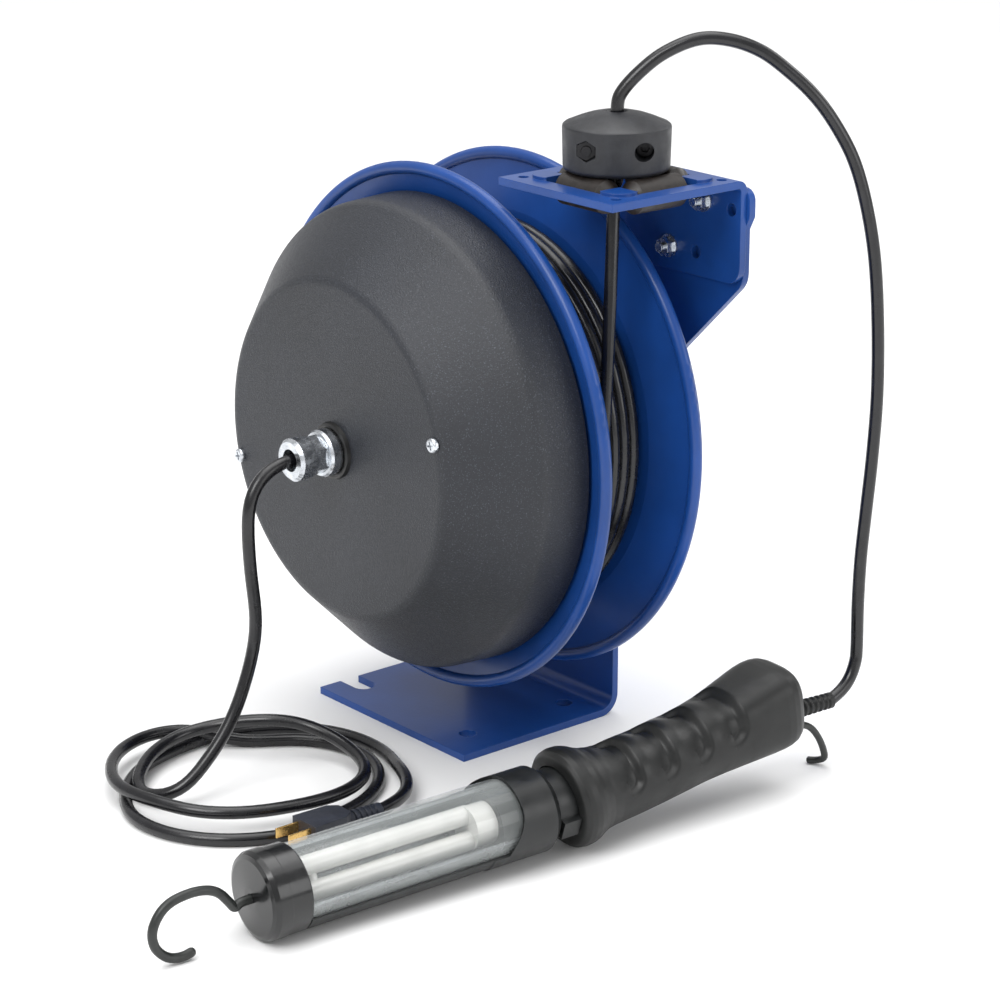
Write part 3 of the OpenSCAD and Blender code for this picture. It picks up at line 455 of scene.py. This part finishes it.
# The last turn rises off the winding and leaves it towards the guide
LEAD_FROM_R, LEAD_TO_R = 125.5, 134.5
RUN_START = Vector((-22, AXLE_Y - LEAD_TO_R, AXLE_Z))
LEAD_FROM_X = -10
# Degrees round the drum where it leaves, and how far it has come by then
LEAD_END, LEAD_TURN = 180, 130
LEAD_STEPS = 45
lead = []
for i in range(LEAD_STEPS + 1):
    t = i / LEAD_STEPS
    a = math.radians(LEAD_END + LEAD_TURN * (1 - t))
    r = LEAD_FROM_R + (LEAD_TO_R - LEAD_FROM_R) * ease(t)
    lead.append(round_axle(LEAD_FROM_X + (RUN_START.x - LEAD_FROM_X) * ease(t), r, a))
wire("wound_cord_lead", lead, CORD_R, "cord_jacket", "drum")

STOP_FOOT = Vector((3.5, -136.5, 381.6))
STOP_H = 35
RUN_STEPS = 6
run = [RUN_START, RUN_START.lerp(STOP_FOOT, 0.5), STOP_FOOT - Vector((0.8, -0.5, 6)),
       STOP_FOOT + Vector((0, 0, 6)), STOP_FOOT + Vector((0, 0, STOP_H / 2)),
       STOP_FOOT + Vector((0, 0, STOP_H))]
reel_run = wire("reel_cord_line", spline(run, RUN_STEPS), CORD_R, "cord_jacket", "stand")
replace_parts(reel_run, "reel_cord_run")

# ---------------------------------------------------------------- sheet metal and fittings, edges rounded
EDGE_WIDTHS = {"base_frame": 0.9, "guide_bracket": 0.7, "stop_half_near": 0.6, "stop_half_far": 0.6,
               "plug_body": 1.2, "guide_nuts": 0.35, "guide_bolts": 0.35, "stop_nuts": 0.3,
               "gland_nut": 0.3, "plug_pins": 0.4}
for node, width in EDGE_WIDTHS.items():
    rounded(node, width)


# ---------------------------------------------------------------- lamp handle with finger grooves
# The grip's outline as places along it and radii
HANDLE_PROFILE = [
    (-1, 22), (-1, 25), (0, 28), (2.5, 30.3), (6, 31), (10, 30.8), (14, 29.6), (18, 27.6), (23, 25.8),
    (30, 24.8), (40, 24.4), (60, 24.2), (100, 24), (116, 24), (128, 24.4), (140, 25.2), (150, 26),
    (157, 26.4), (162, 26.2), (166.5, 25.3), (169.8, 23.6), (172.2, 21.2), (173.9, 18.4), (174.8, 15.6),
    (175, 13),
]
# The hollow inside it, from the tail back to the mouth
HANDLE_BORE = [(175, 7.2), (170, 7.2), (165, 17), (155, 20), (135, 19), (110, 18), (34, 18), (14, 22),
               (4, 22)]
# How far the grip's middle line lies above the axis, and over how far along it that is averaged
HANDLE_LIFT = [(8, 0), (24, -1.8), (42, -2.8), (66, -2.4), (90, -1.4), (114, -0.2), (136, 2.0),
               (156, 4.2), (176, 4.6)]
LIFT_REACH = 10
HANDLE_START, HANDLE_END = -1, 175
HANDLE_SIDES, HANDLE_STEPS = 128, 300
# Where the finger grooves are, and how far each reaches along and round the grip
GROOVES = (37, 63, 89, 116)
GROOVE_HALF = 12
GROOVE_DEPTH = 4.6
GROOVE_REACH = 42
GROOVE_END_R = 26
# Going towards the tail, a groove deepens gently up to here and then ends steeply
GROOVE_LOW = 0.55
# Degrees round the grip to the middle of the grooves
GRIP_SIDE = 116
# The tail's cross-section goes from round to a soft square
SQUARE_FROM, SQUARE_OVER = 95, 60
SQUARE_POWER = 1.2
# Edges of the grip stay smooth below this angle in degrees
GRIP_SMOOTH = 50


def along_table(table, x):
    """The value at x of a table of places and values."""
    for (x0, r0), (x1, r1) in zip(table, table[1:]):
        if x <= x1:
            t = 0 if x1 == x0 else min(max((x - x0) / (x1 - x0), 0), 1)
            return r0 + (r1 - r0) * t
    return table[-1][1]


def grip_depth(x, a):
    """How deep the finger grooves are at a place along the grip and at an angle from their middle."""
    off = abs((math.degrees(a) + 180) % 360 - 180)
    past = max(0, math.radians(off - GROOVE_REACH)) * GROOVE_END_R / GROOVE_HALF
    depth = 0
    for g in GROOVES:
        along = (x - g) / GROOVE_HALF
        u = math.copysign(math.hypot(along, past), along)
        gentle, steep = (u + 1) / (1 + GROOVE_LOW), (1 - u) / (1 - GROOVE_LOW)
        depth = max(depth, ease(gentle if u < GROOVE_LOW else steep))
    return GROOVE_DEPTH * depth


def squared(x, a):
    """Factor that turns the round grip into a soft square towards its tail."""
    power = 2 + SQUARE_POWER * ease((x - SQUARE_FROM) / SQUARE_OVER)
    c, w = abs(math.cos(a)), abs(math.sin(a))
    return (c ** power + w ** power) ** (-1 / power)


def smooth_lift(x):
    near = [along_table(HANDLE_LIFT, x + d) for d in range(-LIFT_REACH, LIFT_REACH + 1)]
    return sum(near) / len(near)


def build_handle(bm):
    rows = []
    angles = [2 * math.pi * k / HANDLE_SIDES for k in range(HANDLE_SIDES)]
    for i in range(HANDLE_STEPS + 1):
        x = HANDLE_START + (HANDLE_END - HANDLE_START) * i / HANDLE_STEPS
        full, lift = along_table(HANDLE_PROFILE, x), smooth_lift(x)
        row = []
        for a in angles:
            r = full * squared(x, a) - grip_depth(x, a - math.radians(GRIP_SIDE))
            row.append(HANDLE @ Vector((x, r * math.cos(a), lift + r * math.sin(a))))
        rows.append(row)
    for x, r in HANDLE_BORE:
        rows.append([HANDLE @ Vector((x, r * math.cos(a), r * math.sin(a))) for a in angles])
    closed_grid(bm, rows)


grip = mesh_piece("lamp_grip", build_handle, "handle_black", "stand", GRIP_SMOOTH)
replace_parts(grip, "lamp_handle")

# ---------------------------------------------------------------- hooks of coated wire
HOOK_STEPS = 8
FRONT_HOOK_R, REAR_HOOK_R = 2.8, 2.2
# How the wire's ends narrow, as parts of its radius
FRONT_TIP, REAR_TIP = [0.92, 0.75, 0.4], [0.85, 0.5]
FRONT_HOOK = [
    (6, 0, 0), (-4, 0, -0.5), (-8, 0, -2), (-12, 0, 3), (-17, 0, 9), (-24, 0, 13), (-34, 0, 14.5),
    (-46, 0, 13), (-54, 0, 8), (-59, 0, -1), (-58, 0, -11), (-51, 0, -19), (-42, 0, -21.5), (-34, 0, -20),
]
REAR_HOOK = [
    (157, 0, -18), (166, 0, -18), (174, 0, -18), (180, 0, -19), (187, 0, -20.5), (194, 0, -25.5),
    (199.5, 0, -34.5), (203.5, 1, -45), (205, 3, -51.5), (203, 8, -54.2), (199, 13, -54.2),
]


def bent_hook(name, node, place, points, radius, tip):
    """A hook of round wire through points beside its place, narrowing at its tip."""
    line = [place @ q for q in spline(points, HOOK_STEPS)]
    radii = [1.0] * (len(line) - len(tip)) + tip
    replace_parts(wire(name, line, radius, SLOT_OF[node], BODY_OF[node], radii), node)


bent_hook("front_hook", "lamp_hook", LAMP, FRONT_HOOK, FRONT_HOOK_R, FRONT_TIP)
bent_hook("rear_hook", "tail_hook", HANDLE, REAR_HOOK, REAR_HOOK_R, REAR_TIP)

# ---------------------------------------------------------------- studio
# Half the floor's side, in metres
FLOOR_HALF = 9.0
bm = bmesh.new()
bmesh.ops.create_grid(bm, x_segments=2, y_segments=2, size=FLOOR_HALF)
floor_data = bpy.data.meshes.new("floor")
bm.to_mesh(floor_data)
bm.free()
floor = bpy.data.objects.new("floor", floor_data)
floor_mat = bpy.data.materials.new("floor")
floor_mat.use_nodes = True
floor_sockets = floor_mat.node_tree.nodes["Principled BSDF"].inputs
floor_sockets["Base Color"].default_value = (0.87, 0.87, 0.87, 1)
floor_sockets["Roughness"].default_value = 0.9
floor_sockets["Specular IOR Level"].default_value = 0.1
floor_data.materials.append(floor_mat)
bpy.context.scene.collection.objects.link(floor)


MIDDLE = Vector((0, -0.05, 0.2))


def soft_light(name, place, size, power):
    """A white panel that faces the reel. Metres and watts."""
    data = bpy.data.lights.new(name, "AREA")
    data.shape = "RECTANGLE"
    data.size, data.size_y = size
    data.energy = power
    obj = bpy.data.objects.new(name, data)
    obj.location = place
    obj.rotation_mode = "QUATERNION"
    obj.rotation_quaternion = (MIDDLE - Vector(place)).to_track_quat("-Z", "Y")
    bpy.context.scene.collection.objects.link(obj)


soft_light("key", (-1.9, -0.6, 1.8), (1.3, 1.3), 32)
soft_light("top", (0.1, 0.3, 2.3), (1.8, 1.8), 16)
soft_light("fill", (0.9, -2.3, 0.9), (1.6, 1.2), 14)
soft_light("rim", (2.0, -0.3, 1.5), (1.0, 1.0), 9)

sky_data = bpy.data.lights.new("overhead", "SUN")
sky_data.energy = 1.5
sky_data.angle = math.radians(70)
bpy.context.scene.collection.objects.link(bpy.data.objects.new("overhead", sky_data))

world = bpy.data.worlds.new("studio")
bpy.context.scene.world = world
world.use_nodes = True
world_sockets = world.node_tree.nodes["Background"].inputs
world_sockets["Color"].default_value = (1, 1, 1, 1)
world_sockets["Strength"].default_value = 0.6
bpy.context.scene.view_settings.view_transform = "Standard"
bpy.context.scene.view_settings.look = "None"
